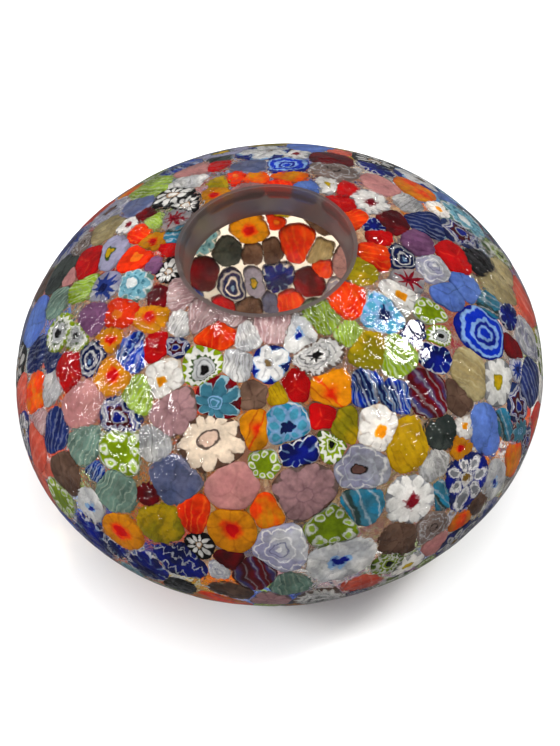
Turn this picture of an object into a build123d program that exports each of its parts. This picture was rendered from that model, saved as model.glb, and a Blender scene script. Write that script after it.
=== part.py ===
from build123d import *
import math
import os
import random

# A blown millefiori glass bowl: a squat oval with a small cut mouth and a ground flat base.
# A thick clear gather carries one layer of murrine, which are short slices of patterned cane.
# A thin clear casing covers them, and its glass and the gather's meet in the gaps between them.
# The bowl stands on z = 0 with its axis on Z. Azimuth 0 is the front, at -Y, and turns towards +X.

# Outside shape, in millimetres. The widest line is the equator.
bowl_width = 130.0
crown_height = 46.5  # from the equator up to where the dome would close over the mouth
belly_depth = 37.5  # from the equator down to where the underside would close
base_width = 52.0  # of the flat that is ground underneath
mouth_width = 40.5  # across the outer edge of the mouth
mouth_taper = 14.0  # degrees by which the cut edge narrows downwards
edge_break = 0.4  # bevel that takes the sharpness off each ground edge

# Walls, from the outside in.
casing_wall = 1.7
base_glass = 2.0  # clear glass left between the ground flat and the lowest murrine
flattening = 1.03  # how much deeper each inner surface would be if it weren't flattened underneath
murrine_thickness = 1.8
gather_wall = 4.5

# How the slices lie.
slice_gap = 0.6  # between one slice and the next
slice_spread = 1.3  # how far a softened slice spreads where it has room, as a share of its half width
slice_corners = 12  # of a slice's outline before its neighbours flatten it
shortest_side = 0.5
smallest_slice = 7.0  # square millimetres
filler_widths = [12.0, 10.5, 9.0, 7.5, 6.0, 5.0]
filler_tries = 1500  # for each width
packing = 0.88  # how near two slices may lie, as a share of their half widths added up
filler_seed = 21

half_width = bowl_width / 2
mouth_radius = mouth_width / 2
base_drop = belly_depth * math.sqrt(1 - (base_width / bowl_width) ** 2)
rim_rise = crown_height * math.sqrt(1 - (mouth_width / bowl_width) ** 2)
wall = casing_wall + murrine_thickness + gather_wall


def rim_angle(width, crown, mouth):
    """How high the mouth's rim stands, as an angle seen from the middle of the equator."""
    return math.atan2(crown * math.sqrt(1 - (mouth / width) ** 2), mouth / 2)


# The slices keep their places between the equator and the rim, wherever the rim is.
laid_for = (130.0, 46.5, 40.5)  # the bowl's width, its crown and its mouth when the places were chosen
rise_scale = rim_angle(bowl_width, crown_height, mouth_width) / rim_angle(*laid_for)

# Each slice laid by hand is azimuth and rise above the equator, in degrees seen from the middle of
# the equator, then its width round the bowl and its height up it, in millimetres.
laid_by_hand = {
    "red": [
        (-71.5, 27, 9, 9), (-52, 47, 8, 8), (-106, 36.5, 9, 9), (-101, 62, 6, 5), (-164, 44, 6, 5),
        (6, 45.5, 6, 7), (12.5, 37, 9, 5), (135, 55, 7, 5), (124, 61, 9, 5), (96, 57, 8, 5),
        (91, 36, 9, 9), (-163, -26, 6, 5),
    ],
    "dark_red": [
        (-14.5, 7, 10, 4), (-70, 56, 10, 4), (106, 51, 10, 6), (73, 18, 4, 10), (-160, -17, 9, 8),
        (167, -23, 9, 7),
    ],
    "coral": [(-69, 7, 8, 10), (-84, 8, 8, 10), (13, -5, 14, 5), (-74, -5, 9, 9)],
    "red_orange_core": [(-75, 45, 10, 8), (-100, 51.5, 13, 8), (-168, 56, 8, 6)],
    "orange": [
        (-31, 57, 11, 6), (-22, 16.5, 7, 10), (-116, 50.5, 9, 6), (167, 63, 7, 4), (113, 61, 9, 5),
        (83, 58, 11, 7), (46, 59, 9, 8), (170.5, -13, 11, 9), (163, -19, 5, 5), (174, -28, 9, 7),
    ],
    "amber_red_core": [
        (-13.5, 14.5, 13, 9.5), (-58, 35.5, 10, 9), (-63, 51.5, 8, 7), (-109, 55, 8, 6),
        (-68, 40.5, 10, 5), (-39, 6, 11, 8), (-176.5, -8.5, 10, 8),
    ],
    "orange_yellow": [
        (-76.5, 16, 8, 9), (125, 34, 10, 8), (56, 2, 6, 9), (-176, 58, 9, 5), (163, 57, 11, 4),
        (37, 0, 6, 4),
    ],
    "yellow": [(31, 24, 11, 11), (-1.5, 43.5, 4.5, 4.5)],
    "yellow_olive": [
        (-29.5, 12.3, 12, 8), (17, 34, 7, 8), (37, 46.5, 9, 10), (-162, 56, 6, 5), (69, 61, 8, 6),
        (175.5, -4, 8, 4),
    ],
    "yellow_red_tulip": [(17.5, 42.5, 10, 11), (-8, 36.5, 6, 9)],
    "lime_white": [(8, 13.5, 13, 8), (-44.5, 24, 12, 11), (64, 41.5, 5, 9), (-5.5, 28.5, 7, 5)],
    "lime_ribbed": [
        (-47, 36, 8, 10), (-122, 52.5, 12, 5), (-95, 36, 6, 9), (43, 42, 9, 9), (28, 60, 7, 9),
        (34, 53, 5, 6),
    ],
    "green_white_spiky": [(-30, 48.5, 10, 9), (-84, 28, 8, 8), (-78.5, 33, 7, 6)],
    "green_white_star": [(11.5, 30, 5, 7), (103, 19, 6, 10)],
    "teal_ribbed": [(-54, 20, 9, 11), (-43, 14.5, 12, 9), (-2.5, 0, 9, 6), (-96, 28, 8, 7)],
    "turquoise_white_lobes": [(1, 36.5, 12, 9), (53, 51, 12, 12)],
    "turquoise": [(15, 16.5, 9, 8), (-112, 62, 6, 5), (56, 12.5, 4, 9), (33.5, 10, 4, 6)],
    "aqua_flower_dark_red": [(-21.5, 42.5, 12, 11)],
    "aqua_white_flower": [(-85, 51, 14, 7)],
    "light_blue_lobed": [(51, 15, 9, 11), (82, 34, 8, 8), (75, 38, 6, 8), (151, 61, 8, 5)],
    "slate_blue_lobed": [(-28, 22, 14, 9), (-131, 41, 8, 8), (-178, 50.5, 9, 7), (180, -28, 5, 6)],
    "blue_striped": [(-58, 42.5, 11, 10), (27, 39.5, 8, 8), (34, 34, 6, 8), (-48, 16, 7, 3)],
    "navy_ribbed": [(-64, 15.5, 8, 10), (-85, 20, 7, 9), (107, 41, 11, 8)],
    "navy_zigzag": [(-25, 4.5, 15, 8)],
    "navy_lobed": [
        (2.5, 30.5, 10, 6), (52, 34.5, 6, 8), (140, 36, 12, 5), (103, 57, 6, 4), (177.5, -22, 9, 8),
    ],
    "blue_bullseye": [(70, 27, 11, 14), (168, 50, 12, 7)],
    "navy_white_rings": [(-67.5, 34, 7, 7), (84, 51.5, 9, 7), (-168.5, -22.5, 8, 9)],
    "blue_white_petals": [(40, 9.5, 12, 12)],
    "blue_white_cross": [(-4, 51.5, 9, 9)],
    "blue_white_star": [(-48, 29.5, 12, 10), (63, 11, 6, 10), (-45, 50, 6, 4)],
    "blue_spiky": [(-90, 43, 7, 8)],
    "purple": [(-80, 38.5, 8, 9), (94, 46, 12, 6)],
    "pink": [(-14, 23, 11, 10), (-60, 25, 11, 11), (-157, 42, 12, 8), (-172, 62, 9, 4), (128, 44, 12, 6)],
    "pink_flower": [(3, 22, 15, 11), (-33, 37, 11, 10)],
    "pink_ribbed": [(-43, 60, 10, 8), (-27, 64, 8, 4), (0, 61, 9, 8), (-64, 61, 9, 6)],
    "lavender_rings": [(-3.5, 10, 12, 11), (84, 43, 9, 8), (80, 13, 8, 11)],
    "lavender_yellow_core": [(-107, 43.5, 9, 8), (-175, -22.5, 7, 8)],
    "cream_flower": [(-21, 32.3, 13.5, 13)],
    "white_daisy_yellow_core": [(61.5, 19, 10, 10), (23, -4, 9, 5), (142, 57, 9, 5)],
    "white_daisy_orange_core": [(-42, 42, 11, 9), (25.5, 30.5, 11, 9), (63, 49.5, 10, 9)],
    "white_daisy_red_core": [(26.5, 13, 10, 10), (121, 53, 11, 7)],
    "black_white_daisy": [(-140, 50, 11, 8), (-137, 57, 8, 6), (-86, 62, 7, 6)],
    "white_spiky_black_star": [(15.5, 50.5, 10, 11)],
    "white_blue_core": [(8.5, 5, 15, 9), (12, 58, 8, 10), (48, 3, 6, 9)],
    "white_ribbed": [
        (-14, 58, 6, 8), (-16, 51, 8, 8), (-36, 28, 9, 6), (-73, 21.5, 6, 10), (-150, 47, 9, 7),
        (117, 42, 12, 5), (34.5, 17.5, 11, 5), (-50, 56, 6, 6),
    ],
    "cream_ribbed": [(56, 25.5, 10, 11), (88, 24, 8, 14), (-121, 36, 12, 8), (165, -15, 8, 6)],
    "grey_brown_core": [(17.5, 23.5, 12, 9)],
    "grey_ring_flower": [(29, 4, 8, 7), (148, 48, 12, 7)],
    "smoke": [
        (-9, 43.5, 7, 7), (49, 25.5, 6, 8), (22, 5, 9, 8), (-57, 10, 9, 9), (-14, -3, 12, 5),
        (164, -6, 12, 8), (-176, -15, 6, 5), (178.5, -15, 6, 6), (-171.5, -28.5, 7, 6),
    ],
    "dark_smoke": [(39.5, 22, 9, 7), (-108, 26, 10, 10), (-169.5, -13, 8, 7)],
    "dark_red_star": [(-127, 57.5, 9, 7), (74, 49, 8, 6)],
    "dark_red_blue_stripes": [(43, 30, 9, 12)],
    "black": [(94, 29, 8, 9)],
}

# The shells' surfaces are ovals of revolution, flattened underneath. Each is its half width, its
# height above the equator, the depth its oval would reach below it, and the depth of its flat.
outside = (half_width, crown_height, belly_depth, base_drop)


def inner_surface(inset, floor_inset):
    """The surface that lies an inset inside the bowl's walls, and another inset above its base."""
    floor = base_drop - floor_inset
    return (half_width - inset, crown_height - inset, floor * flattening, floor)


over_murrine = inner_surface(casing_wall, base_glass)
mid_murrine = inner_surface(casing_wall + murrine_thickness / 2, base_glass + murrine_thickness / 2)
under_murrine = inner_surface(casing_wall + murrine_thickness, base_glass + murrine_thickness)
hollow = inner_surface(wall, base_glass + murrine_thickness + gather_wall)


def half_oval(half_width, rise, depth, floor):
    """Half of a surface's section, from the axis outwards, with the equator at the sketch's origin."""
    turn = math.asin(floor / depth)
    turn_degrees = math.degrees(turn)
    with BuildSketch() as section:
        with BuildLine():
            EllipticalCenterArc((0, 0), half_width, rise, start_angle=0, arc_size=90)
            Polyline((0, rise), (0, -floor), (half_width * math.cos(turn), -floor))
            EllipticalCenterArc((0, 0), half_width, depth, start_angle=-turn_degrees, arc_size=turn_degrees)
        make_face()
    return section.sketch


def shell(outer, inner):
    """The glass between two surfaces, opened by the tapered mouth."""
    reach = 2 * wall
    widening = reach * math.tan(math.radians(mouth_taper))
    section_plane = Plane(origin=(0, 0, base_drop), x_dir=(1, 0, 0), z_dir=(0, -1, 0))
    with BuildPart() as glass:
        with BuildSketch(section_plane):
            add(half_oval(*outer))
            add(half_oval(*inner), mode=Mode.SUBTRACT)
            with BuildLine():
                Polyline(
                    (0, rim_rise + reach),
                    (mouth_radius + widening, rim_rise + reach),
                    (mouth_radius - widening, rim_rise - reach),
                    (0, rim_rise - reach),
                    close=True,
                )
            make_face(mode=Mode.SUBTRACT)
        revolve(axis=Axis.Z)
    return glass.part


class Slice:
    """One murrina: the cane it was cut from, the plane it lies in and its size."""

    def __init__(self, cane, azimuth, rise, width, height):
        self.cane = cane
        self.half_sizes = (width / 2, height / 2)
        turn = math.radians(azimuth)
        lift = math.radians(rise) * (rise_scale if rise > 0 else 1)
        across, up, down, _ = mid_murrine
        vertical = up if lift > 0 else down
        distance = 1 / math.hypot(math.cos(lift) / across, math.sin(lift) / vertical)
        out = distance * math.cos(lift)
        level = distance * math.sin(lift)
        outward = Vector(math.sin(turn), -math.cos(turn), 0)
        self.centre = outward * out + Vector(0, 0, base_drop + level)
        normal = outward * (out / across**2) + Vector(0, 0, level / vertical**2)
        round_the_bowl = Vector(math.cos(turn), math.sin(turn), 0)
        self.plane = Plane(origin=self.centre, x_dir=round_the_bowl, z_dir=normal)

    def towards(self, other):
        """The distance and direction of another slice in this one's plane."""
        local = self.plane.to_local_coords(other.centre)
        distance = max(math.hypot(local.X, local.Y), shortest_side)
        return distance, (local.X / distance, local.Y / distance)

    def half_size(self, direction):
        """How far the slice's own oval reaches in a direction of its plane."""
        return 1 / math.hypot(direction[0] / self.half_sizes[0], direction[1] / self.half_sizes[1])

    def room_beside(self, other):
        """How far apart the two centres are, as a share of their half sizes added up."""
        distance, direction = self.towards(other)
        return distance / (self.half_size(direction) + other.half_size(direction))


def clears_mouth(murrina):
    """True where the slice's centre is in the glass and not over the mouth."""
    over_rim = murrina.centre.Z - base_drop - rim_rise + wall
    edge = mouth_radius if over_rim > 0 else 0
    return math.hypot(murrina.centre.X, murrina.centre.Y) > edge


def near(murrina, slices):
    """The other slices that could touch this one."""
    reach = 2 * max(filler_widths)
    others = [other for other in slices if other is not murrina]
    return [other for other in others if (other.centre - murrina.centre).length < reach]


def lay_slices():
    """The slices laid by hand, then smaller and smaller ones in the room that is left."""
    slices = [Slice(cane, *place) for cane, places in laid_by_hand.items() for place in places]
    chance = random.Random(filler_seed)
    canes = []
    for width in filler_widths:
        for _ in range(filler_tries):
            azimuth = chance.uniform(-180, 180)
            rise = math.degrees(math.asin(chance.uniform(-1, 1)))
            squash = chance.uniform(0.75, 1.0)
            if not canes:
                canes = list(laid_by_hand)
                chance.shuffle(canes)
            candidate = Slice(canes[-1], azimuth, rise, width, width * squash)
            crowd = near(candidate, slices)
            has_room = all(candidate.room_beside(other) > packing for other in crowd)
            if has_room and clears_mouth(candidate):
                slices.append(candidate)
                canes.pop()
    return slices


def keep_inside(corners, direction, limit):
    """The part of an outline that lies within a limit along a direction."""
    kept = []
    for (x, y), (next_x, next_y) in zip(corners, corners[1:] + corners[:1]):
        depth = limit - x * direction[0] - y * direction[1]
        next_depth = limit - next_x * direction[0] - next_y * direction[1]
        if depth >= 0:
            kept.append((x, y))
        if depth * next_depth < 0:
            share = depth / (depth - next_depth)
            kept.append((x + share * (next_x - x), y + share * (next_y - y)))
    return kept


def pressed_outline(murrina, slices):
    """The slice spread from its own oval, and flattened where the slices around it press on it."""
    reach_x, reach_y = (slice_spread * size for size in murrina.half_sizes)
    corners = []
    for step in range(slice_corners):
        angle = 2 * math.pi * step / slice_corners
        corners.append((reach_x * math.cos(angle), reach_y * math.sin(angle)))
    for other in near(murrina, slices):
        distance, direction = murrina.towards(other)
        own = murrina.half_size(direction)
        limit = distance * own / (own + other.half_size(direction)) - slice_gap / 2
        corners = keep_inside(corners, direction, limit)
    outline = []
    for corner in corners:
        if not outline or math.dist(corner, outline[-1]) > shortest_side:
            outline.append(corner)
    if len(outline) > 1 and math.dist(outline[0], outline[-1]) <= shortest_side:
        outline.pop()
    return outline


def area(outline):
    """The area inside an outline."""
    pairs = zip(outline, outline[1:] + outline[:1])
    return sum(x * next_y - next_x * y for (x, y), (next_x, next_y) in pairs) / 2


def slice_solid(murrina, outline, layer):
    """The slice as glass: its outline carried through the murrine layer, curved faces and all."""
    with BuildPart() as solid:
        with BuildSketch(murrina.plane):
            with BuildLine():
                Polyline(*outline, close=True)
            make_face()
        extrude(amount=2 * murrine_thickness, both=True)
        add(layer, mode=Mode.INTERSECT)
    return solid.part


def export(part, name):
    """Label a finished piece and write it as its own STEP file."""
    part.label = name
    export_step(part, f"parts/{name}.step")


os.makedirs("parts", exist_ok=True)

# The clear gather that the murrine were picked up on.
with BuildPart() as inner_gather:
    add(shell(under_murrine, hollow))
    rings = inner_gather.edges().filter_by(GeomType.CIRCLE).sort_by(Axis.Z)
    inner_lip = rings[-2]
    chamfer(inner_lip, edge_break)
export(inner_gather.part, "inner_gather")

# The clear casing over the murrine, which carries the rim's outer edge and the ground base.
with BuildPart() as outer_casing:
    add(shell(outside, over_murrine))
    rings = outer_casing.edges().filter_by(GeomType.CIRCLE).sort_by(Axis.Z)
    base_edge = rings[0]
    outer_lip = rings[-1]
    chamfer([base_edge, outer_lip], edge_break)
export(outer_casing.part, "outer_casing")

# The murrine, the slices of each cane as a group of separate solids.
murrine_layer = shell(over_murrine, under_murrine)
slices = lay_slices()
for cane in laid_by_hand:
    with BuildPart() as murrine:
        for murrina in slices:
            if murrina.cane == cane:
                outline = pressed_outline(murrina, slices)
                if len(outline) > 2 and area(outline) > smallest_slice:
                    add(slice_solid(murrina, outline, murrine_layer))
    export(murrine.part, f"murrine_{cane}")
    print(cane, len(murrine.solids()))
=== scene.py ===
import math
import random

import bmesh
import bpy
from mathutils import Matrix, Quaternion, Vector, geometry, kdtree, noise


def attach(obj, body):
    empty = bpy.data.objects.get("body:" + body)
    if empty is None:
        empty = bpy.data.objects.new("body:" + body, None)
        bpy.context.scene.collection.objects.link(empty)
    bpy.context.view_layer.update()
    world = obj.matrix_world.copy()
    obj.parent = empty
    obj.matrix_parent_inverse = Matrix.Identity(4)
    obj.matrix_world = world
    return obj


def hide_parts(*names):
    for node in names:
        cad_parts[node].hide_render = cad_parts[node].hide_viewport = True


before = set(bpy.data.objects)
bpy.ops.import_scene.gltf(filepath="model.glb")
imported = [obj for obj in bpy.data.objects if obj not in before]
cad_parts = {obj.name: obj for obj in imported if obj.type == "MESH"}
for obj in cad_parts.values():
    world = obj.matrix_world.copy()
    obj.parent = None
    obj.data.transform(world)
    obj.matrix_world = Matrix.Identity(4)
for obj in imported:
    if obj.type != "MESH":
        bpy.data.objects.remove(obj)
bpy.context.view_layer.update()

# Looks for a blown millefiori glass bowl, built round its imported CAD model. Each CAD murrina becomes
# a softened, pressed slice of patterned cane. One closed body of clear glass, rippled outside and
# satin where it is ground, stands for the gather and the casing, and fills the gaps between slices.
# Lengths are in metres. Colours are display values, from 0 to 255.

MM = 0.001
FULL_TURN = 2 * math.pi
CANE_PREFIX = "murrine_"

# ------------------------------------------------------------------ the bowl's measured surfaces


class Surface:
    """One surface of revolution of the bowl, about the middle of its equator: an oval cut flat below."""

    def __init__(self, half_width, crown, depth, floor):
        self.half_width = half_width
        self.crown = crown
        self.depth = depth
        self.floor = floor

    def cast(self, point):
        """The point of the surface in the same direction from the middle of the equator."""
        vertical = self.crown if point.z > 0 else self.depth
        level = math.hypot(math.hypot(point.x, point.y) / self.half_width, point.z / vertical)
        return point / max(level, -point.z / self.floor)

    def normal(self, point):
        """The oval's outward direction at a point."""
        vertical = self.crown if point.z > 0 else self.depth
        flat = self.half_width**2
        return Vector((point.x / flat, point.y / flat, point.z / vertical**2)).normalized()


def between(inner, outer, share):
    """The surface that lies a share of the way from one surface to another."""
    pairs = zip(vars(inner).values(), vars(outer).values())
    return Surface(*(a + share * (b - a) for a, b in pairs))


def upper_ring(node, pick):
    """The radius and height of the vertex that is picked from a node's upper half."""
    above = [v.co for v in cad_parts[node].data.vertices if v.co.z > middle.z]
    point = pick(above)
    return point.xy.length, point.z


def wall_hits(node, direction):
    """Where a ray from the middle of the equator meets a shell's inside and its outside."""
    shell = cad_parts[node]
    hits = []
    start = middle
    for _ in range(2):
        _, point, _, _ = shell.ray_cast(start, direction)
        hits.append(point - middle)
        start = point + direction * 0.01 * MM
    return hits


def measured(node, side):
    """A CAD shell's inside (side 0) or outside (side 1) as a Surface."""
    half_width = wall_hits(node, Vector((1, 0, 0)))[side].x
    floor = -wall_hits(node, Vector((0, 0, -1)))[side].z
    heights = []
    for z in (1, -1):
        point = wall_hits(node, Vector((1, 0, z)).normalized())[side]
        heights.append(abs(point.z) / math.sqrt(1 - (point.x / half_width) ** 2))
    return Surface(half_width, heights[0], heights[1], floor)


widest = max((v.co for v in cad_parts["inner_gather"].data.vertices), key=lambda co: co.xy.length)
middle = Vector((0, 0, widest.z))
outside = measured("outer_casing", 1)
over_murrine = measured("outer_casing", 0)
under_murrine = measured("inner_gather", 1)
hollow = measured("inner_gather", 0)
murrine_middle = between(under_murrine, over_murrine, 0.5)

# The mouth is a tapered cut through every layer.
cut_upper = upper_ring("outer_casing", lambda points: min(points, key=lambda co: co.xy.length))
cut_lower = upper_ring("inner_gather", lambda points: max(points, key=lambda co: co.z))
cut_slope = (cut_upper[0] - cut_lower[0]) / (cut_upper[1] - cut_lower[1])


def cut_radius(height):
    """The radius of the mouth's cut at a height above the floor."""
    return cut_upper[0] + cut_slope * (height - cut_upper[1])


# ------------------------------------------------------------------ camera, lights and floor

CAMERA_DISTANCE = 8 * outside.half_width
CAMERA_ELEVATION = math.radians(49.56)
CAMERA_ROLL = math.radians(5.81)
AIM_RIGHT = 0.3 * MM
AIM_DOWN = 0.5 * MM


def make_camera():
    """The photograph's viewpoint: above the bowl's front, a little rolled."""
    data = bpy.data.cameras.new("camera")
    data.lens = 135
    data.sensor_width = 36
    data.sensor_fit = "HORIZONTAL"
    data.clip_start = 0.01
    data.clip_end = 20
    camera = bpy.data.objects.new("camera", data)
    bpy.context.scene.collection.objects.link(camera)
    back = Vector((0, -math.cos(CAMERA_ELEVATION), math.sin(CAMERA_ELEVATION)))
    screen_up = Vector((0, math.sin(CAMERA_ELEVATION), math.cos(CAMERA_ELEVATION)))
    aim = middle + Vector((AIM_RIGHT, 0, 0)) - screen_up * AIM_DOWN
    camera.location = middle + back * CAMERA_DISTANCE
    looking = (aim - camera.location).to_track_quat("-Z", "Y")
    camera.rotation_euler = (looking @ Quaternion((0, 0, 1), -CAMERA_ROLL)).to_euler()
    bpy.context.scene.camera = camera


# Each lamp is its direction from the bowl, its side, its distance, its power in watts and whether it
# shows in the glass. The soft box only fills, so that its reflection doesn't veil the colours.
LIGHTS = {
    "lamp_right": (Vector((0.656, 0.099, 0.749)), 0.3, 1.3, 11.0, True),
    "lamp_left": (Vector((-0.85, 0.0, 0.53)), 0.3, 1.3, 11.0, True),
    "lamp_overhead": (Vector((-0.16, 0.21, 0.964)), 0.12, 1.4, 1.2, True),
    "soft_box": (Vector((0.05, -0.25, 0.97)), 1.3, 1.5, 18.0, False),
}
SURROUND = 0.42  # the strength of the surround as light
SURROUND_REFLECTED = 0.12  # and as it shows in reflections, where the room is darker


def make_lights():
    """Soft studio light: a nearly white surround, two small lamps and a wide soft box."""
    for name, (direction, side, distance, power, reflected) in LIGHTS.items():
        data = bpy.data.lights.new(name, "AREA")
        data.shape = "SQUARE"
        data.size = side
        data.energy = power
        light = bpy.data.objects.new(name, data)
        light.location = middle + direction.normalized() * distance
        light.rotation_euler = (-direction).to_track_quat("-Z", "Y").to_euler()
        light.visible_glossy = reflected
        bpy.context.scene.collection.objects.link(light)
    world = bpy.data.worlds.new("studio")
    world.use_nodes = True
    tree = world.node_tree
    background = tree.nodes["Background"]
    background.inputs["Color"].default_value = (0.95, 0.97, 1.0, 1)
    path = tree.nodes.new("ShaderNodeLightPath")
    strength = tree.nodes.new("ShaderNodeMapRange")
    strength.inputs["To Min"].default_value = SURROUND
    strength.inputs["To Max"].default_value = SURROUND_REFLECTED
    tree.links.new(path.outputs["Is Glossy Ray"], strength.inputs["Value"])
    tree.links.new(strength.outputs["Result"], background.inputs["Strength"])
    bpy.context.scene.world = world
    bpy.context.scene.view_settings.view_transform = "Standard"


def make_floor():
    """A plain pale floor under the bowl."""
    mesh = bpy.data.meshes.new("floor")
    reach = 3.0
    corners = [(-reach, -reach, 0), (reach, -reach, 0), (reach, reach, 0), (-reach, reach, 0)]
    mesh.from_pydata(corners, [], [(0, 1, 2, 3)])
    floor = bpy.data.objects.new("floor", mesh)
    bpy.context.scene.collection.objects.link(floor)
    paper = bpy.data.materials.new("floor_paper")
    paper.use_nodes = True
    shader = paper.node_tree.nodes["Principled BSDF"]
    shader.inputs["Base Color"].default_value = (0.9, 0.9, 0.9, 1)
    shader.inputs["Roughness"].default_value = 0.9
    shader.inputs["Specular IOR Level"].default_value = 0.1
    mesh.materials.append(paper)
    floor.visible_glossy = False  # as the room was, darker in reflections than under the bowl


make_camera()
make_lights()
make_floor()

# ------------------------------------------------------------------ the slices' shapes

OUTLINE_STEPS = 36
# Each ring of a slice is its share of the outline, and its share of the way from the layer's
# underside to its top: a flat underside, a rounded edge and a slightly domed top.
SLICE_RINGS = [
    (0.45, 0.05), (0.80, 0.05), (0.89, 0.16), (0.97, 0.42), (1.0, 0.7), (0.985, 0.88),
    (0.955, 0.96), (0.88, 0.99), (0.68, 1.0), (0.48, 1.0), (0.32, 1.0), (0.16, 1.0),
]
SOFTENING = 2  # rounds of averaging that take the corners off an outline
SPREAD = 0.27 * MM  # how far a softened slice runs out into the glass round it
WAVINESS = 0.45 * MM  # how much of that differs round its edge, in slow waves
FRAYING = 0.22 * MM  # and in quick ones
QUICKER = 2.7  # how much quicker those are
EDGE_NOISE_SCALE = 300  # of the noise from slice to slice
EDGE_NOISE_REACH = 1.6  # of the circle that is read from it round one slice
MOUTH_CLEARANCE = 0.2 * MM
LYING_TURN = 0.45  # how far a lying cane may turn from the meridian, in radians
NEARLY = 1e-6  # the rounding that is allowed where an outline is crossed at a corner


class Slice:
    """One CAD slice: its middle, its own directions and its outline in them."""

    def __init__(self, corners):
        at = sum(corners, Vector()) / len(corners)
        self.centre = murrine_middle.cast(at - middle)
        normal = murrine_middle.normal(self.centre)
        self.across = Vector((0, 0, 1)).cross(self.centre).normalized()
        self.up = normal.cross(self.across)
        flat = [self.flattened(corner - middle) for corner in corners]
        hull = [Vector(flat[i]) for i in geometry.convex_hull_2d(flat)]
        self.middle = sum(hull, Vector((0, 0))) / len(hull)
        reach = [self.reach(hull, FULL_TURN * step / OUTLINE_STEPS) for step in range(OUTLINE_STEPS)]
        for _ in range(SOFTENING):
            reach = [
                (reach[i - 1] + 2 * reach[i] + reach[(i + 1) % OUTLINE_STEPS]) / 4
                for i in range(OUTLINE_STEPS)
            ]
        self.outline = [distance + self.spread(step) for step, distance in enumerate(reach)]

    def spread(self, step):
        """How far the edge has run out at a step of the outline, unevenly."""
        angle = FULL_TURN * step / OUTLINE_STEPS
        round_edge = Vector((math.cos(angle), math.sin(angle), 0)) * EDGE_NOISE_REACH
        edge = self.centre * EDGE_NOISE_SCALE + round_edge
        return SPREAD + noise.noise(edge) * WAVINESS + noise.noise(edge * QUICKER) * FRAYING

    def flattened(self, point):
        """A point seen in the slice's own plane."""
        offset = point - self.centre
        return offset.dot(self.across), offset.dot(self.up)

    def reach(self, hull, angle):
        """How far the hull reaches from the slice's middle at an angle."""
        far = self.middle + Vector((math.cos(angle), math.sin(angle)))
        nearest = 0.0
        for a, b in zip(hull, hull[1:] + hull[:1]):
            edge = b - a
            ray = far - self.middle
            cross = ray.x * edge.y - ray.y * edge.x
            if cross:
                start = a - self.middle
                along_ray = (start.x * edge.y - start.y * edge.x) / cross
                along_edge = (start.x * ray.y - start.y * ray.x) / cross
                if along_ray > 0 and -NEARLY <= along_edge <= 1 + NEARLY:
                    nearest = max(nearest, along_ray)
        return nearest

    def place(self, share, step, level):
        """The point at a share of the outline, on a surface of the murrine layer."""
        angle = FULL_TURN * step / OUTLINE_STEPS
        distance = self.outline[step % OUTLINE_STEPS] * share
        flat = self.middle + Vector((math.cos(angle), math.sin(angle))) * distance
        point = level.cast(self.centre + self.across * flat.x + self.up * flat.y)
        limit = cut_radius(point.z + middle.z) + MOUTH_CLEARANCE
        radius = point.xy.length
        if point.z > 0 and radius < limit:
            point.xy *= limit / radius
        return point + middle


def cad_slices(node):
    """The separate slices of a CAD murrine node."""
    whole = bmesh.new()
    whole.from_mesh(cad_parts[node].data)
    bmesh.ops.remove_doubles(whole, verts=whole.verts, dist=0.01 * MM)
    left = set(whole.verts)
    found = []
    while left:
        group = [left.pop()]
        for vertex in group:
            for edge in vertex.link_edges:
                other = edge.other_vert(vertex)
                if other in left:
                    left.remove(other)
                    group.append(other)
        found.append(sorted((vertex.co.copy() for vertex in group), key=lambda co: tuple(co)))
    whole.free()
    return [Slice(corners) for corners in sorted(found, key=lambda corners: tuple(corners[0]))]


def slice_mesh(name, slices, lying, chance):
    """All of a cane's slices as one mesh, with each point's place in the cane kept on it."""
    points = []
    faces = []
    places = []
    chances = []
    for piece in slices:
        first = len(points)
        turn = chance.uniform(-LYING_TURN, LYING_TURN) if lying else chance.uniform(0, FULL_TURN)
        luck = chance.random()
        for share, lift in SLICE_RINGS:
            level = between(under_murrine, over_murrine, lift)
            for step in range(OUTLINE_STEPS):
                angle = FULL_TURN * step / OUTLINE_STEPS + turn
                points.append(piece.place(share, step, level))
                places.append((share * math.cos(angle), share * math.sin(angle), lift))
        for share, lift in (SLICE_RINGS[0], SLICE_RINGS[-1]):
            points.append(piece.place(0, 0, between(under_murrine, over_murrine, lift)))
            places.append((0, 0, lift))
        bottom = first + len(SLICE_RINGS) * OUTLINE_STEPS
        last_ring = bottom - OUTLINE_STEPS
        for step in range(OUTLINE_STEPS):
            after = (step + 1) % OUTLINE_STEPS
            for ring in range(len(SLICE_RINGS) - 1):
                low = first + ring * OUTLINE_STEPS
                high = low + OUTLINE_STEPS
                faces.append((low + step, low + after, high + after, high + step))
            faces.append((bottom, first + after, first + step))
            faces.append((bottom + 1, last_ring + step, last_ring + after))
        chances += [luck] * (len(points) - first)
    mesh = bpy.data.meshes.new(name)
    mesh.from_pydata(points, [], faces)
    mesh.shade_smooth()
    place = mesh.attributes.new("cane_place", "FLOAT_VECTOR", "POINT")
    place.data.foreach_set("vector", [value for row in places for value in row])
    luck_of = mesh.attributes.new("cane_chance", "FLOAT", "POINT")
    luck_of.data.foreach_set("value", chances)
    return mesh


# ------------------------------------------------------------------ painting with nodes


def display(colour):
    """A colour given as display values from 0 to 255, as the linear colour a shader takes."""
    linear = []
    for value in colour:
        share = value / 255
        linear.append(share / 12.92 if share <= 0.04045 else ((share + 0.055) / 1.055) ** 2.4)
    return (*linear, 1.0)


CANE_CLEARNESS = 0.4  # the share of the lamps' light that cane glass lets through
# Painted backlight: the view through the mouth needs more light than reaches the inside here, so a
# slice's inner face glows with its own colour, at this strength, standing in for light from behind; it is
# no lamp.
INNER_PAINTED_BACKLIGHT = 1.0
INNER_FACE = 0.25  # the share of the layer up to which it does so
INNER_FADE = 0.2  # and how softly that ends
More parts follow.
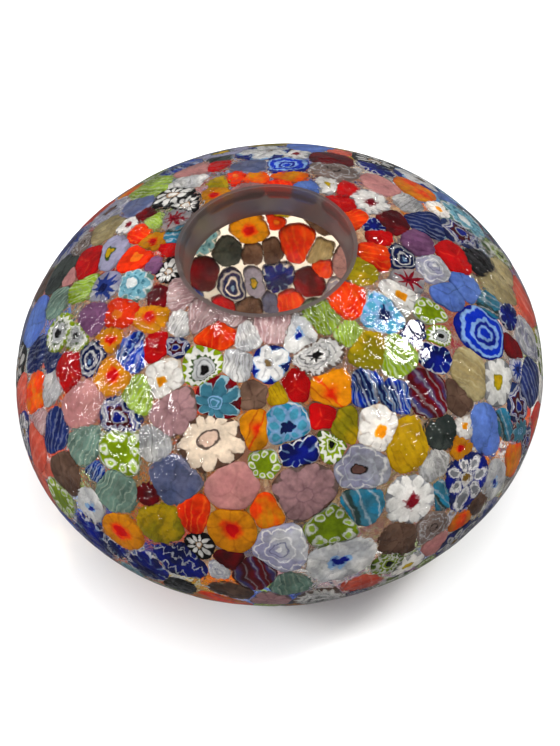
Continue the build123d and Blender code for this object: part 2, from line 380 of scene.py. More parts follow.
# A slice's shade varies in fine streaks, in soft clouds and from one slice to the next: each is the
# scale of its noise, if it has one, and its strength.
STREAKS = (900, 0.6)
CLOUDS = (240, 0.8)
SLICE_SHADE = 0.24
SHADE_SHIFT = -0.15  # lightens or darkens every slice alike
# The pattern is pulled about as the hot glass was: the scale of each pull, and its reach as a share
# of the slice's radius.
PULLS = [(260, 0.42), (800, 0.16)]


class Value:
    """A number that varies over a surface: a node's socket, which sums can be written with."""

    def __init__(self, tree, socket):
        self.tree = tree
        self.socket = socket

    def calculate(self, operation, *others):
        node = self.tree.nodes.new("ShaderNodeMath")
        node.operation = operation
        for socket, value in zip(node.inputs, (self, *others)):
            if isinstance(value, Value):
                self.tree.links.new(value.socket, socket)
            else:
                socket.default_value = value
        return Value(self.tree, node.outputs[0])

    def __add__(self, other):
        return self.calculate("ADD", other)

    def __sub__(self, other):
        return self.calculate("SUBTRACT", other)

    def __mul__(self, other):
        return self.calculate("MULTIPLY", other)

    def __truediv__(self, other):
        return self.calculate("DIVIDE", other)

    def sine(self):
        return self.calculate("SINE")

    def cosine(self):
        return self.calculate("COSINE")

    def size(self):
        return self.calculate("ABSOLUTE")

    def folded(self, width):
        """Repeats from minus half a width to half a width."""
        return self.calculate("WRAP", width / 2, -width / 2)


class Canvas:
    """A cane's material while it is painted, layer over layer, from its ground to its core."""

    softness = 0.03

    def __init__(self, name):
        self.material = bpy.data.materials.new(name)
        self.material.use_nodes = True
        self.tree = self.material.node_tree
        self.tree.nodes.clear()
        place = self.attribute("cane_place", "Vector")
        where = self.tree.nodes.new("ShaderNodeTexCoord").outputs["Object"]
        self.where = where
        warped = place
        for scale, reach in PULLS:
            drift = self.noise_colour(where, scale, 2)
            centred = self.vector_sum(drift, (-0.5, -0.5, -0.5))
            warped = self.vector_sum(warped, self.vector_scaled(centred, reach))
        self.x, self.y, _ = self.parts(warped)
        self.lift = self.parts(place)[2]
        self.radius = (self.x * self.x + self.y * self.y).calculate("SQRT")
        self.angle = self.y.calculate("ARCTAN2", self.x)
        self.luck = Value(self.tree, self.attribute("cane_chance", "Fac"))
        self.colour = None

    def parts(self, vector):
        axes = self.tree.nodes.new("ShaderNodeSeparateXYZ")
        self.tree.links.new(vector, axes.inputs[0])
        return [Value(self.tree, output) for output in axes.outputs]

    def attribute(self, name, output):
        node = self.tree.nodes.new("ShaderNodeAttribute")
        node.attribute_name = name
        return node.outputs[output]

    def noise_colour(self, where, scale, detail):
        node = self.tree.nodes.new("ShaderNodeTexNoise")
        node.inputs["Scale"].default_value = scale
        node.inputs["Detail"].default_value = detail
        self.tree.links.new(where, node.inputs["Vector"])
        return node.outputs["Color"]

    def noise(self, scale, detail=2):
        """Noise over the surface, from about 0.3 to 0.7."""
        node = self.tree.nodes.new("ShaderNodeTexNoise")
        node.inputs["Scale"].default_value = scale
        node.inputs["Detail"].default_value = detail
        self.tree.links.new(self.where, node.inputs["Vector"])
        return Value(self.tree, node.outputs["Fac"])

    def vector_sum(self, vector, other):
        node = self.tree.nodes.new("ShaderNodeVectorMath")
        node.operation = "ADD"
        self.tree.links.new(vector, node.inputs[0])
        if isinstance(other, tuple):
            node.inputs[1].default_value = other
        else:
            self.tree.links.new(other, node.inputs[1])
        return node.outputs[0]

    def vector_scaled(self, vector, scale):
        node = self.tree.nodes.new("ShaderNodeVectorMath")
        node.operation = "SCALE"
        self.tree.links.new(vector, node.inputs[0])
        node.inputs["Scale"].default_value = scale
        return node.outputs[0]

    def under(self, value, limit, softness=None):
        """1 where the value is under the limit and 0 where it is over, with a soft step between."""
        soft = softness or self.softness
        node = self.tree.nodes.new("ShaderNodeMapRange")
        node.interpolation_type = "SMOOTHSTEP"
        self.tree.links.new((value - limit).socket, node.inputs["Value"])
        node.inputs["From Min"].default_value = -soft
        node.inputs["From Max"].default_value = soft
        node.inputs["To Min"].default_value = 1
        node.inputs["To Max"].default_value = 0
        return Value(self.tree, node.outputs["Result"])

    def paint(self, mask, colour):
        """Lays a colour over what is there, where the mask is 1."""
        node = self.tree.nodes.new("ShaderNodeMix")
        node.data_type = "RGBA"
        self.tree.links.new(mask.socket, node.inputs["Factor"])
        self.tree.links.new(self.colour, node.inputs["A"])
        if isinstance(colour, tuple):
            node.inputs["B"].default_value = display(colour)
        else:
            self.tree.links.new(colour, node.inputs["B"])
        self.colour = node.outputs["Result"]

    def wave(self, shape, count, turn=0.0):
        """The lobes round a cane, from -1 to 1: round ones, petals with notches, or a star's points."""
        swing = self.angle * count + turn
        if shape == "round":
            return swing.cosine()
        half = swing * 0.5
        if shape == "petal":
            return half.cosine().size() * 2 - 1
        return half.sine().size() * -2 + 1

    def finish(self):
        """Ends the paint in a shader that lets light through, with painted backlight: its inner face
        glows with its own colour.
        """
        tree = self.tree
        fine = self.noise(STREAKS[0], 3) * STREAKS[1]
        shades = fine + self.noise(CLOUDS[0]) * CLOUDS[1] + self.luck * SLICE_SHADE + SHADE_SHIFT
        shade = tree.nodes.new("ShaderNodeMix")
        shade.data_type = "RGBA"
        shade.blend_type = "MULTIPLY"
        shade.inputs["Factor"].default_value = 1
        tree.links.new(self.colour, shade.inputs["A"])
        tree.links.new(shades.socket, shade.inputs["B"])
        front = tree.nodes.new("ShaderNodeBsdfDiffuse")
        back = tree.nodes.new("ShaderNodeBsdfTranslucent")
        tree.links.new(shade.outputs["Result"], front.inputs["Color"])
        tree.links.new(shade.outputs["Result"], back.inputs["Color"])
        both = tree.nodes.new("ShaderNodeMixShader")
        both.inputs["Fac"].default_value = 0.5
        tree.links.new(front.outputs[0], both.inputs[1])
        tree.links.new(back.outputs[0], both.inputs[2])
        # Painted backlight: the inner face glows with the slice's own colour, standing in for light from
        # behind.
        glow = tree.nodes.new("ShaderNodeEmission")
        tree.links.new(shade.outputs["Result"], glow.inputs["Color"])
        glow_strength = self.under(self.lift, INNER_FACE, INNER_FADE) * INNER_PAINTED_BACKLIGHT
        tree.links.new(glow_strength.socket, glow.inputs["Strength"])
        glowing = tree.nodes.new("ShaderNodeAddShader")
        tree.links.new(both.outputs[0], glowing.inputs[0])
        tree.links.new(glow.outputs[0], glowing.inputs[1])
        through = tree.nodes.new("ShaderNodeBsdfTransparent")
        tree.links.new(shade.outputs["Result"], through.inputs["Color"])
        shadow = Value(tree, tree.nodes.new("ShaderNodeLightPath").outputs["Is Shadow Ray"])
        lit_through = tree.nodes.new("ShaderNodeMixShader")
        tree.links.new((shadow * CANE_CLEARNESS).socket, lit_through.inputs["Fac"])
        tree.links.new(glowing.outputs[0], lit_through.inputs[1])
        tree.links.new(through.outputs[0], lit_through.inputs[2])
        output = tree.nodes.new("ShaderNodeOutputMaterial")
        tree.links.new(lit_through.outputs[0], output.inputs["Surface"])
        return self.material


# Each of these makes one layer of a cane's pattern. Sizes are shares of the slice's radius.

MARBLING_BLUR = 0.12
VEIN_BLUR = 0.06
VEIN_STRENGTH = 0.6
RIM_OUTSIDE = 1.25  # of a bead's own size
RIM_INSIDE = 0.75
RIB_NOISE = 180  # the scale of the noise that ribs wander by
RIB_BLUR = 0.14  # of the spacing
RIB_FADING = (320, 1.8, -0.25)  # the scale, gain and shift of the noise that fades ribs in places
BAND_NOISE = 150
BAND_WANDER = 0.2
BAND_BLUR = 0.05


def ground(colour, second=None, scale=200):
    """The glass that fills the cane, marbled with a second colour if one is given."""

    def lay(canvas):
        solid = canvas.tree.nodes.new("ShaderNodeRGB")
        solid.outputs[0].default_value = display(colour)
        canvas.colour = solid.outputs[0]
        if second:
            canvas.paint(canvas.under(canvas.noise(scale), 0.5, MARBLING_BLUR), second)

    return lay


def disc(radius, colour, shape="round", count=1, depth=0.0, turn=0.0, softness=None):
    """Everything inside a round, petalled or star-shaped boundary."""

    def lay(canvas):
        boundary = radius
        if depth:
            boundary = canvas.wave(shape, count, turn) * (radius * depth) + radius
        canvas.paint(canvas.under(canvas.radius, boundary, softness), colour)

    return lay


def ring(radius, width, colour, shape="round", count=1, depth=0.0, turn=0.0):
    """A line of some width that follows a boundary."""

    def lay(canvas):
        boundary = radius
        if depth:
            boundary = canvas.wave(shape, count, turn) * (radius * depth) + radius
        canvas.paint(canvas.under((canvas.radius - boundary).size(), width / 2), colour)

    return lay


def veins(count, inner, outer, width, colour, turn=math.pi):
    """Thin lines from the core outwards, between the petals."""

    def lay(canvas):
        along = canvas.under((canvas.radius - (inner + outer) / 2).size(), (outer - inner) / 2)
        sector = (canvas.angle + turn / count).folded(FULL_TURN / count)
        beside = (sector * canvas.radius).size()
        canvas.paint(canvas.under(beside, width / 2, VEIN_BLUR) * along * VEIN_STRENGTH, colour)

    return lay


def beads(count, at, size, colour, rim=None, length=1.0, turn=0.0):
    """Round or long dots in a circle, each with a rim if one is given."""

    def lay(canvas):
        sector = (canvas.angle + turn).folded(FULL_TURN / count)
        out = (canvas.radius * sector.cosine() - at) / length
        aside = canvas.radius * sector.sine()
        distance = (out * out + aside * aside).calculate("SQRT")
        if rim:
            canvas.paint(canvas.under(distance, size * RIM_OUTSIDE), rim)
            canvas.paint(canvas.under(distance, size * RIM_INSIDE), colour)
        else:
            canvas.paint(canvas.under(distance, size), colour)

    return lay


def ribs(spacing, share, colour, wander=0.12):
    """Lines along a lying cane, which wander a little."""

    def lay(canvas):
        sideways = canvas.x + (canvas.noise(RIB_NOISE) - 0.5) * wander
        beside = sideways.folded(spacing).size()
        scale, gain, shift = RIB_FADING
        line = canvas.under(beside, spacing * share / 2, spacing * RIB_BLUR)
        canvas.paint(line * (canvas.noise(scale) * gain + shift), colour)

    return lay


def band(offset, width, colour):
    """One broad stripe along a lying cane."""

    def lay(canvas):
        sideways = canvas.x + (canvas.noise(BAND_NOISE) - 0.5) * BAND_WANDER
        canvas.paint(canvas.under((sideways - offset).size(), width / 2, BAND_BLUR), colour)

    return lay


def zigzag(rows, teeth, height, width, colour):
    """Rows of zigzag across a lying cane."""

    def lay(canvas):
        tooth = (canvas.x.folded(2 / teeth).size() * teeth - 0.5) * height
        row = (canvas.y + tooth).folded(2 / rows).size()
        canvas.paint(canvas.under(row, width / 2), colour)

    return lay


WHITE = (242, 242, 240)
CREAM = (236, 222, 204)
BLACK = (16, 13, 14)
RED = (200, 8, 12)
DARK_RED = (132, 4, 16)
MAROON = (80, 18, 24)
ORANGE = (236, 72, 4)
RED_ORANGE = (226, 40, 4)
AMBER = (212, 146, 10)
YELLOW = (206, 172, 10)
OLIVE = (156, 146, 16)
LIME = (138, 164, 12)
PALE_LIME = (174, 206, 70)
DARK_GREEN = (58, 84, 28)
TEAL = (108, 132, 122)
TURQUOISE = (44, 152, 192)
AQUA = (132, 190, 208)
DEEP_AQUA = (66, 128, 150)
LIGHT_BLUE = (108, 142, 212)
PALE_BLUE = (150, 192, 236)
SLATE = (96, 108, 150)
ROYAL = (14, 30, 146)
NAVY = (18, 30, 88)
BRIGHT_BLUE = (10, 52, 196)
PURPLE = (134, 86, 130)
PINK = (200, 148, 144)
MAUVE = (180, 142, 146)
PALE_PINK = (214, 186, 186)
LAVENDER = (162, 162, 190)
GREY = (132, 134, 140)
PALE_GREY = (196, 198, 202)
BROWN_GREY = (128, 112, 106)
TAN = (168, 152, 108)
SMOKE = (104, 78, 64)
DARK_SMOKE = (52, 60, 58)
CORAL = (208, 84, 62)

CANES = {
    "red": [ground(RED, (180, 8, 10)), veins(3, 0.1, 0.8, 0.05, (235, 70, 40))],
    "dark_red": [ground(DARK_RED, MAROON)],
    "coral": [ground(CORAL, (222, 108, 84)), ribs(0.5, 0.2, (232, 150, 128))],
    "red_orange_core": [
        ground(RED_ORANGE), disc(0.9, (238, 60, 8), "petal", 8, 0.12), disc(0.3, (250, 140, 30)),
    ],
    "orange": [ground(ORANGE, RED_ORANGE), ribs(0.4, 0.16, (252, 120, 30))],
    "amber_red_core": [
        ground((196, 128, 14)), disc(0.95, AMBER, "petal", 8, 0.14),
        veins(8, 0.3, 0.95, 0.04, (150, 92, 10)), disc(0.42, ORANGE, softness=0.12), disc(0.28, RED),
    ],
    "orange_yellow": [ground(AMBER, ORANGE), ribs(0.45, 0.2, (232, 110, 14))],
    "yellow": [ground(YELLOW, (190, 152, 8)), ribs(0.36, 0.14, (150, 120, 10))],
    "yellow_olive": [ground(YELLOW, OLIVE, 150), ribs(0.5, 0.2, (120, 112, 14))],
    "yellow_red_tulip": [
        ground((236, 158, 10)), band(0.1, 0.12, (236, 84, 10)), band(-0.35, 0.08, (190, 96, 10)),
        disc(0.3, RED_ORANGE, softness=0.25),
    ],
    "lime_white": [
        ground(LIME, (122, 146, 10)), beads(8, 0.72, 0.17, PALE_LIME, WHITE), ring(0.97, 0.05, PALE_GREY),
    ],
    "lime_ribbed": [
        ground(LIME, PALE_LIME), ribs(0.24, 0.34, (206, 218, 180)), ribs(0.4, 0.12, DARK_GREEN),
    ],
    "green_white_spiky": [
        ground(LIME), disc(0.88, WHITE, "star", 16, 0.14), disc(0.62, DARK_GREEN, "round", 16, 0.08),
        disc(0.54, PALE_GREY), ring(0.4, 0.05, GREY), disc(0.24, BLACK, softness=0.05),
    ],
    "green_white_star": [
        ground(DARK_GREEN, LIME), disc(0.9, WHITE, "star", 12, 0.18), disc(0.62, LIME, "star", 12, 0.16),
        ring(0.38, 0.08, WHITE), disc(0.24, BLACK),
    ],
    "teal_ribbed": [
        ground(TEAL, (126, 158, 146)), ribs(0.26, 0.2, (186, 198, 182)), ribs(0.44, 0.14, (72, 96, 92)),
    ],
    "turquoise_white_lobes": [
        ground(TURQUOISE, (60, 168, 200)), beads(7, 0.62, 0.24, (84, 178, 206), PALE_BLUE, 1.2),
        disc(0.3, NAVY, "petal", 6, 0.2), ring(0.98, 0.06, WHITE),
    ],
    "turquoise": [ground(DEEP_AQUA, TURQUOISE), band(-0.5, 0.4, (52, 74, 72)), ribs(0.6, 0.12, WHITE)],
    "aqua_flower_dark_red": [
        ground(MAROON, DARK_RED), disc(0.86, (172, 204, 216), "petal", 8, 0.24),
        disc(0.78, DEEP_AQUA, "petal", 8, 0.22), veins(8, 0.3, 0.85, 0.05, (40, 62, 84)),
        ring(0.3, 0.05, PALE_BLUE), ring(0.16, 0.04, PALE_BLUE),
    ],
    "aqua_white_flower": [
        ground((110, 150, 140)), disc(0.92, WHITE, "petal", 9, 0.16), disc(0.82, AQUA, "petal", 9, 0.16),
        beads(9, 0.62, 0.09, DEEP_AQUA), ring(0.38, 0.06, DEEP_AQUA), disc(0.3, WHITE),
    ],
    "light_blue_lobed": [ground(LIGHT_BLUE, (96, 128, 206)), veins(3, 0.0, 1.0, 0.07, (70, 92, 120))],
    "slate_blue_lobed": [
        ground(SLATE, (112, 118, 152)), veins(3, 0.0, 1.0, 0.06, (66, 70, 92)), ring(1.0, 0.1, LAVENDER),
    ],
    "blue_striped": [ground(BRIGHT_BLUE, NAVY), ribs(0.22, 0.3, PALE_BLUE), ribs(0.52, 0.14, WHITE)],
    "navy_ribbed": [ground(NAVY, (34, 52, 120)), ribs(0.3, 0.26, (138, 150, 186))],
    "navy_zigzag": [ground((16, 26, 92), ROYAL), zigzag(3, 5, 0.36, 0.1, (208, 214, 222))],
    "navy_lobed": [
        ground(ROYAL, (10, 18, 84)), ring(0.95, 0.1, WHITE, "petal", 8, 0.12),
        veins(8, 0.5, 0.95, 0.06, PALE_BLUE),
    ],
    "blue_bullseye": [
        ground(ROYAL), disc(0.9, PALE_BLUE), disc(0.78, BRIGHT_BLUE), disc(0.56, PALE_BLUE),
        disc(0.44, ROYAL), disc(0.28, PALE_BLUE), disc(0.19, BRIGHT_BLUE),
    ],
    "navy_white_rings": [
        ground(NAVY), disc(0.86, PALE_GREY), disc(0.74, NAVY), disc(0.52, WHITE), disc(0.4, NAVY),
        disc(0.16, PALE_BLUE),
    ],
    "blue_white_petals": [
        ground(ROYAL, NAVY), beads(7, 0.6, 0.17, GREY, WHITE, 1.5), disc(0.24, WHITE),
        disc(0.18, (136, 104, 40)),
    ],
    "blue_white_cross": [
        ground(ROYAL, NAVY), disc(0.82, PALE_BLUE, "petal", 5, 0.3), disc(0.74, WHITE, "petal", 5, 0.32),
        veins(5, 0.3, 0.8, 0.1, GREY, 0.0), disc(0.26, PALE_GREY), disc(0.16, (118, 96, 60)),
    ],
    "blue_white_star": [
        ground((40, 62, 122), NAVY), disc(0.92, PALE_GREY, "star", 6, 0.2),
        disc(0.78, ROYAL, "star", 6, 0.2), ring(0.68, 0.07, WHITE, "star", 6, 0.22),
        disc(0.58, MAROON, "star", 6, 0.22), disc(0.34, PALE_GREY), disc(0.27, ROYAL),
    ],
    "blue_spiky": [
        ground(LAVENDER, PALE_GREY), disc(0.74, (44, 66, 150), "star", 11, 0.3), disc(0.3, NAVY),
    ],
    "purple": [ground(PURPLE, (148, 100, 142)), ribs(0.5, 0.14, (112, 70, 112))],
    "pink": [ground(PINK, (190, 136, 136)), veins(3, 0.0, 0.7, 0.035, (160, 106, 110))],
    "pink_flower": [
        ground(BROWN_GREY, SMOKE), disc(0.93, MAUVE, "petal", 9, 0.1),
        veins(9, 0.26, 0.95, 0.045, (128, 96, 106)), ring(0.26, 0.04, (146, 112, 122)),
    ],
    "pink_ribbed": [
        ground(PALE_PINK, (188, 152, 156)), ribs(0.24, 0.28, (238, 226, 226)),
        ribs(0.42, 0.12, (142, 108, 112)),
    ],
    "lavender_rings": [
        ground(LAVENDER, PALE_GREY), ring(0.85, 0.07, WHITE, "petal", 9, 0.1), ring(0.5, 0.05, WHITE),
        ring(0.3, 0.05, (116, 118, 150)), disc(0.12, WHITE),
    ],
    "lavender_yellow_core": [
        ground((140, 138, 158)), disc(0.92, LAVENDER, "petal", 7, 0.1),
        disc(0.36, DARK_GREEN, "round", 4, 0.16), disc(0.26, YELLOW, "round", 4, 0.16),
    ],
    "cream_flower": [
        ground(SMOKE, (84, 62, 52)), disc(0.9, CREAM, "petal", 10, 0.15),
        veins(10, 0.62, 1.0, 0.05, SMOKE), disc(0.34, (88, 76, 72)), disc(0.25, (226, 200, 184)),
    ],
    "white_daisy_yellow_core": [
        ground((170, 170, 172), GREY), disc(0.88, WHITE, "petal", 8, 0.22), disc(0.32, OLIVE),
        disc(0.25, YELLOW),
    ],
    "white_daisy_orange_core": [
        ground(PALE_GREY, CREAM), disc(0.9, WHITE, "petal", 9, 0.14),
        veins(9, 0.5, 0.95, 0.05, BROWN_GREY), disc(0.3, (250, 196, 60)), disc(0.25, (240, 150, 14)),
    ],
    "white_daisy_red_core": [
        ground(GREY, PALE_GREY), disc(0.9, WHITE, "petal", 10, 0.15), veins(10, 0.6, 0.95, 0.05, GREY),
        disc(0.34, (160, 110, 116), "star", 6, 0.2), disc(0.24, (132, 10, 30)),
    ],
    "black_white_daisy": [
        ground(BLACK), beads(9, 0.6, 0.14, WHITE, None, 2.0), disc(0.26, (190, 150, 110)),
        disc(0.18, WHITE),
    ],
    "white_spiky_black_star": [
        ground(BROWN_GREY, SMOKE), disc(0.9, WHITE, "star", 22, 0.1), ring(0.66, 0.04, GREY),
        ring(0.52, 0.06, PALE_GREY), ring(0.44, 0.05, (60, 60, 62), "petal", 8, 0.1),
        disc(0.28, BLACK, "star", 8, 0.3),
    ],
    "white_blue_core": [
        ground(WHITE, PALE_GREY), veins(5, 0.3, 1.0, 0.04, GREY), disc(0.3, PALE_BLUE, "round", 4, 0.2),
        disc(0.22, ROYAL),
    ],
    "white_ribbed": [
        ground(PALE_GREY, WHITE), ribs(0.22, 0.22, (150, 148, 148)), ribs(0.36, 0.1, (92, 88, 90)),
    ],
    "cream_ribbed": [
        ground(TAN, (188, 176, 134)), ribs(0.24, 0.26, (198, 188, 150)), ribs(0.5, 0.1, (122, 108, 76)),
    ],
    "grey_brown_core": [
        ground(LAVENDER, (176, 178, 190)), ring(0.84, 0.07, WHITE, "petal", 8, 0.12),
        ring(0.56, 0.05, (200, 206, 214)), disc(0.3, BLACK), disc(0.24, (112, 78, 70)),
    ],
    "grey_ring_flower": [
        ground(BROWN_GREY, (140, 122, 114)), ring(0.78, 0.07, PALE_GREY, "petal", 8, 0.14),
        ring(0.52, 0.06, PALE_GREY, "petal", 8, 0.1), disc(0.28, BLACK), disc(0.2, BROWN_GREY),
    ],
    "smoke": [ground(SMOKE, (128, 100, 84)), veins(5, 0.2, 1.0, 0.08, (74, 52, 44))],
    "dark_smoke": [ground(DARK_SMOKE, (72, 80, 76)), veins(3, 0.0, 1.0, 0.08, (34, 38, 38))],
    "dark_red_star": [
        ground((172, 160, 160), GREY), disc(0.62, (132, 16, 34), "star", 8, 0.5), disc(0.14, (86, 8, 22)),
    ],
    "dark_red_blue_stripes": [
        ground((122, 12, 24), MAROON), ribs(0.7, 0.24, (70, 84, 150)), ribs(0.4, 0.1, PALE_GREY),
    ],
    "black": [ground(BLACK, (34, 32, 34)), ribs(0.6, 0.1, (96, 100, 104))],
}
LYING = [
    "coral", "orange", "orange_yellow", "yellow", "yellow_olive", "yellow_red_tulip", "lime_ribbed",
    "teal_ribbed", "turquoise", "blue_striped", "navy_ribbed", "navy_zigzag", "purple", "pink_ribbed",
    "white_ribbed", "cream_ribbed", "dark_red_blue_stripes", "black",
]


def cane_material(cane):
    """The material of one cane, painted by its recipe."""
    canvas = Canvas("cane_" + cane)
    for lay in CANES[cane]:
        lay(canvas)
    return canvas.finish()


def make_slices():
    """The visible slices of every cane, and their centres."""
    centres = []
    for number, cane in enumerate(CANES):
        node = CANE_PREFIX + cane
        slices = cad_slices(node)
        centres += [piece.centre for piece in slices]
        mesh = slice_mesh("slices_" + cane, slices, cane in LYING, random.Random(number))
        mesh.materials.append(cane_material(cane))
        piece = bpy.data.objects.new("slices_" + cane, mesh)
        bpy.context.scene.collection.objects.link(piece)
        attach(piece, "root")
        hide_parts(node)
    return centres


# ------------------------------------------------------------------ the clear glass

ROUND_STEPS = 288
OUTER_ROWS = 150
INNER_ROWS = 60
CUT_ROWS = 9
BASE_ROWS = 6
EDGE_ROUNDING = 0.25 * MM  # how far each ground edge is taken back
EDGE_STEPS = 5
GROOVE = 0.13 * MM  # how far the outside sinks between two slices
GROOVE_WIDTH = 2.2 * MM
SWELLS = [(90, 0.16 * MM), (230, 0.05 * MM)]  # the outside's low swells, each its scale and height
FADE_ROWS = 6  # over which grooves and swells die away towards each ground edge
HALVINGS = 40  # of the range in which the cut meets a surface
PATCH_START = 0.42  # the noise at which a patch of ripple starts
PATCH_FULL = 0.6  # and at which it is full
CASING, HOLLOW, GROUND = range(3)  # the order of the glass's materials


def oval_profile(surface, start, end, rows):
    """Points of a surface's section between two heights, as radius and height above the equator."""
    low = math.asin(max(-1, start / surface.depth))
    high = math.asin(end / surface.crown)
    profile = []
    for row in range(rows):
        lift = low + (high - low) * row / (rows - 1)
        vertical = surface.crown if lift > 0 else surface.depth
        profile.append((surface.half_width * math.cos(lift), vertical * math.sin(lift)))
    return profile


def meeting_height(surface):
    """How high above the equator the mouth's cut leaves a surface."""
    low = 0.0
    high = surface.crown
    for _ in range(HALVINGS):
        height = (low + high) / 2
        radius = surface.half_width * math.sqrt(1 - (height / surface.crown) ** 2)
        if radius > cut_radius(height + middle.z):
            low = height
        else:
            high = height
    return low


def straight(start, end, rows):
    """Evenly spaced points of the section from one point to another."""
    points = []
    for row in range(rows):
        share = row / (rows - 1)
        points.append((start[0] + share * (end[0] - start[0]), start[1] + share * (end[1] - start[1])))
    return points


def rounded(before, corner, after):
    """The corner of a section with its edge taken off."""
    corner = Vector(corner)
    start = corner + (Vector(before) - corner).normalized() * EDGE_ROUNDING
    end = corner + (Vector(after) - corner).normalized() * EDGE_ROUNDING
    arc = []
    for step in range(EDGE_STEPS):
        share = step / (EDGE_STEPS - 1)
        point = start * (1 - share) ** 2 + corner * 2 * share * (1 - share) + end * share**2
        arc.append(tuple(point))
    return arc


def ripple(point, tree):
    """How far the outside stands proud at a point: sunk between slices, with low swells."""
    (_, _, nearest), (_, _, second) = tree.find_n(point, 2)
    beside = min(1, (second - nearest) / GROOVE_WIDTH)
    groove = (1 - beside) ** 2 * GROOVE
    swell = sum(noise.noise(point * scale) * height for scale, height in SWELLS)
    return swell - groove


def glass_section():
    """The section of the whole glass, and the rows where its outside, its cut and its hollow start."""
    outer = oval_profile(outside, -outside.floor, meeting_height(outside), OUTER_ROWS)
    inner = oval_profile(hollow, -hollow.floor, meeting_height(hollow), INNER_ROWS)
    inner.reverse()
    cut = straight(outer[-1], inner[0], CUT_ROWS)
    base = straight((0, outer[0][1]), outer[0], BASE_ROWS)[1:]
    floor = straight(inner[-1], (0, inner[-1][1]), BASE_ROWS)[:-1]
    underneath = base[:-1] + rounded(base[-2], outer[0], outer[1])
    outer_lip = rounded(outer[-2], outer[-1], cut[1])
    inner_lip = rounded(cut[-2], cut[-1], inner[1])
    mouth = outer_lip + cut[1:-1] + inner_lip
    section = underneath + outer[1:-1] + mouth + inner[1:-1] + floor
    first_outer = len(underneath)
    first_cut = first_outer + len(outer) - 2
    return section, (first_outer, first_cut, first_cut + len(mouth))


def glass_points(section, starts, tree):
    """The section turned round the axis and rippled outside, with a point on the axis at either end."""
    first_outer, first_cut, _ = starts
    points = [Vector((0, 0, -outside.floor)) + middle]
    for row, (radius, height) in enumerate(section):
        edge_fade = min(1, (row - first_outer) / FADE_ROWS, (first_cut - row) / FADE_ROWS)
        for step in range(ROUND_STEPS):
            angle = FULL_TURN * step / ROUND_STEPS
            point = Vector((radius * math.sin(angle), -radius * math.cos(angle), height))
            if first_outer <= row < first_cut:
                point += outside.normal(point) * ripple(point, tree) * edge_fade
            points.append(point + middle)
    points.append(Vector((0, 0, -hollow.floor)) + middle)
    return points


def finish_of(row, starts):
    """Which glass the faces above a row of the section are."""
    first_outer, first_cut, first_inner = starts
    if row < first_outer or first_cut - 1 <= row < first_inner:
        return GROUND
    return CASING if row < first_cut else HOLLOW


def glass_faces(rows, starts):
    """The faces between the points, and the material of each."""
    faces = []
    finishes = []
    last = 1 + (rows - 1) * ROUND_STEPS
    for step in range(ROUND_STEPS):
        after = (step + 1) % ROUND_STEPS
        faces.append((0, 1 + after, 1 + step))
        finishes.append(GROUND)
        for row in range(rows - 1):
            low = 1 + row * ROUND_STEPS
            high = low + ROUND_STEPS
            faces.append((low + step, low + after, high + after, high + step))
            finishes.append(finish_of(row, starts))
        faces.append((last + step, last + after, last + ROUND_STEPS))
        finishes.append(HOLLOW)
    return faces, finishes


def make_glass(centres):
    """The whole bowl's clear glass as one closed body, from its base round the mouth to its hollow."""
    tree = kdtree.KDTree(len(centres))
    for number, centre in enumerate(centres):
        tree.insert(outside.cast(centre), number)
    tree.balance()
    section, starts = glass_section()
    faces, finishes = glass_faces(len(section), starts)
    mesh = bpy.data.meshes.new("fused_clear_glass")
    mesh.from_pydata(glass_points(section, starts, tree), [], faces)
    mesh.shade_smooth()
    for material in (casing_material(), hollow_material(), ground_glass_material()):
        mesh.materials.append(material)
    mesh.polygons.foreach_set("material_index", finishes)
    glass = bpy.data.objects.new("fused_clear_glass", mesh)
    bpy.context.scene.collection.objects.link(glass)
    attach(glass, "root")
    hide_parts("inner_gather", "outer_casing")


def glass_shader(name, tint, roughness):
    """A clear glass material that lets light through to what lies in it."""
    material = bpy.data.materials.new(name)
    material.use_nodes = True
    tree = material.node_tree
    tree.nodes.clear()
    clear = tree.nodes.new("ShaderNodeBsdfPrincipled")
    clear.inputs["Base Color"].default_value = display(tint)
    clear.inputs["Transmission Weight"].default_value = 1
    clear.inputs["IOR"].default_value = 1.5
    clear.inputs["Roughness"].default_value = roughness
    through = tree.nodes.new("ShaderNodeBsdfTransparent")
    through.inputs["Color"].default_value = display(tint)
    path = tree.nodes.new("ShaderNodeLightPath")
    both = tree.nodes.new("ShaderNodeMixShader")
    tree.links.new(path.outputs["Is Shadow Ray"], both.inputs["Fac"])
    tree.links.new(clear.outputs[0], both.inputs[1])
    tree.links.new(through.outputs[0], both.inputs[2])
    output = tree.nodes.new("ShaderNodeOutputMaterial")
    tree.links.new(both.outputs[0], output.inputs["Surface"])
    return material, tree, clear


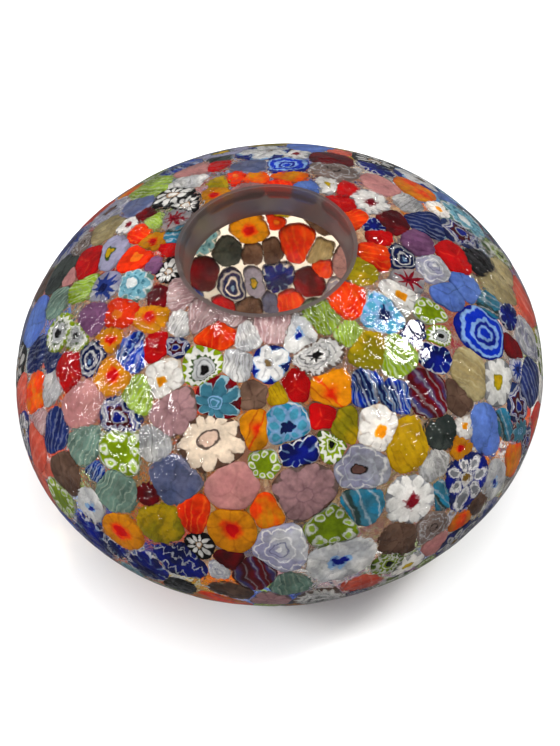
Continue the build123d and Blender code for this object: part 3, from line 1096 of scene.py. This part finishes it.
def patches(tree, scale, weakest):
    """A strength that is full in some patches of the surface and weak in others."""
    where = tree.nodes.new("ShaderNodeTexCoord").outputs["Object"]
    pattern = tree.nodes.new("ShaderNodeTexNoise")
    pattern.inputs["Scale"].default_value = scale
    tree.links.new(where, pattern.inputs["Vector"])
    strength = tree.nodes.new("ShaderNodeMapRange")
    strength.inputs["From Min"].default_value = PATCH_START
    strength.inputs["From Max"].default_value = PATCH_FULL
    strength.inputs["To Min"].default_value = weakest
    tree.links.new(pattern.outputs["Fac"], strength.inputs["Value"])
    return strength.outputs["Result"]


def bumps(tree, shader, layers, strength=None):
    """Gives a shader the bump of several noises, each its scale and its height."""
    where = tree.nodes.new("ShaderNodeTexCoord").outputs["Object"]
    normal = None
    for scale, height in layers:
        pattern = tree.nodes.new("ShaderNodeTexNoise")
        pattern.inputs["Scale"].default_value = scale
        pattern.inputs["Detail"].default_value = 2
        pattern.inputs["Distortion"].default_value = 0.6
        tree.links.new(where, pattern.inputs["Vector"])
        bump = tree.nodes.new("ShaderNodeBump")
        bump.inputs["Distance"].default_value = height
        if strength:
            tree.links.new(strength, bump.inputs["Strength"])
        else:
            bump.inputs["Strength"].default_value = 1
        tree.links.new(pattern.outputs["Fac"], bump.inputs["Height"])
        if normal:
            tree.links.new(normal, bump.inputs["Normal"])
        normal = bump.outputs["Normal"]
    tree.links.new(normal, shader.inputs["Normal"])


def casing_material():
    """The outside: fire polished, and rippled where it sank over the slices."""
    material, tree, shader = glass_shader("casing_glass", (253, 251, 247), 0.0)
    bumps(tree, shader, [(130, 1.6 * MM), (380, 1.2 * MM), (1000, 0.2 * MM)], patches(tree, 42, 0.12))
    return material


def hollow_material():
    """The inside: a faint brown, with the slow waves of blown glass, which blur what lies behind."""
    material, tree, shader = glass_shader("gather_glass", (230, 198, 156), 0.22)
    bumps(tree, shader, [(60, 1.6 * MM), (200, 0.6 * MM)])
    return material


def ground_glass_material():
    """The cut mouth and the base: ground to a satin finish."""
    material, tree, shader = glass_shader("ground_glass", (92, 78, 74), 0.55)
    shader.inputs["Transmission Weight"].default_value = 0.6
    bumps(tree, shader, [(2600, 0.03 * MM)])
    return material


make_glass(make_slices())
